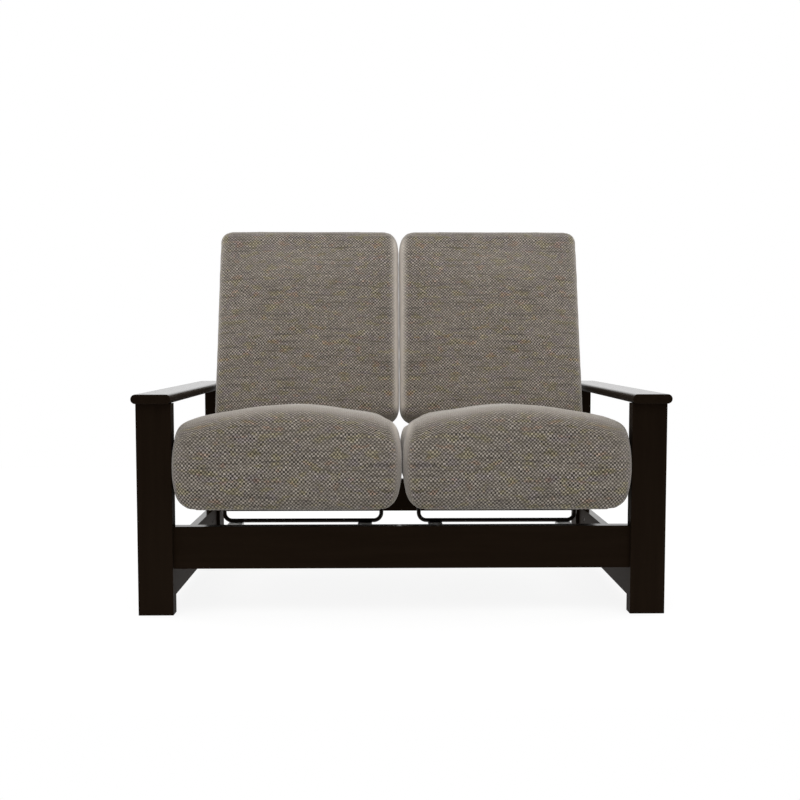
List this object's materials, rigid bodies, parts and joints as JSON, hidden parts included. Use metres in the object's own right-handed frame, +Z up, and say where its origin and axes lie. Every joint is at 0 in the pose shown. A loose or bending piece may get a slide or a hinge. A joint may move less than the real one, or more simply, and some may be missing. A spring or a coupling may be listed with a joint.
{
  "type": "patio loveseat",
  "caption": "Patio loveseat on a dark board frame with wide flat arms, whose padded seats each rock by themselves on hidden leaf springs.",
  "frame": {"origin": "on the floor under the middle of the whole outline", "axes": "+X to the sitter's left as they sit, which is the right of a front view; +Y to the back; +Z up"},
  "size_m": [1.44, 0.9508, 1.1223],
  "materials": {
    "frame_board": "satin",
    "dark_steel": "satin",
    "seat_tube": "satin",
    "bright_steel": "satin",
    "webbing": "matte",
    "cushion_fabric": "matte",
    "nylon": "satin",
    "dowel": "matte"
  },
  "bodies": {
    "frame": {"arm_dowels": "dowel", "arm_left": "frame_board", "arm_right": "frame_board", "beam_screws": "bright_steel", "bracket_screws": "bright_steel", "cross_nuts": "bright_steel", "foot_glides": "nylon", "front_corner_brackets": "dark_steel", "front_leg_left": "frame_board", "front_leg_right": "frame_board", "front_rail": "frame_board", "left_leaf_springs": "bright_steel", "rail_bolts": "bright_steel", "rear_corner_brackets": "dark_steel", "rear_leg_left": "frame_board", "rear_leg_right": "frame_board", "rear_rail": "frame_board", "right_leaf_springs": "bright_steel", "side_rail_left": "frame_board", "side_rail_right": "frame_board", "spring_beam": "dark_steel", "spring_bolts": "bright_steel"},
    "left_seat": {"left_back_cushion": "cushion_fabric", "left_back_hoop": "seat_tube", "left_back_straps": "webbing", "left_cradle_rod": "dark_steel", "left_cross_tubes": "seat_tube", "left_seat_cushion": "cushion_fabric", "left_seat_straps": "webbing", "left_side_tubes": "seat_tube", "left_tube_plugs": "nylon"},
    "right_seat": {"right_back_cushion": "cushion_fabric", "right_back_hoop": "seat_tube", "right_back_straps": "webbing", "right_cradle_rod": "dark_steel", "right_cross_tubes": "seat_tube", "right_seat_cushion": "cushion_fabric", "right_seat_straps": "webbing", "right_side_tubes": "seat_tube", "right_tube_plugs": "nylon"}
  },
  "joints": [
    {"name": "left_seat_rock", "type": "hinge", "parent": "frame", "child": "left_seat", "pos_m": [-0.3055, -0.13712, 0.16535], "axis": [-1, 0, 0], "range_deg": [-4, 9], "stiffness_Nm_per_rad": 1200, "springref_deg": -1.16, "deforming": ["left_leaf_springs"]},
    {"name": "right_seat_rock", "type": "hinge", "parent": "frame", "child": "right_seat", "pos_m": [0.3055, -0.13712, 0.16535], "axis": [-1, 0, 0], "range_deg": [-4, 9], "stiffness_Nm_per_rad": 1200, "springref_deg": -1.16, "deforming": ["right_leaf_springs"]}
  ]
}
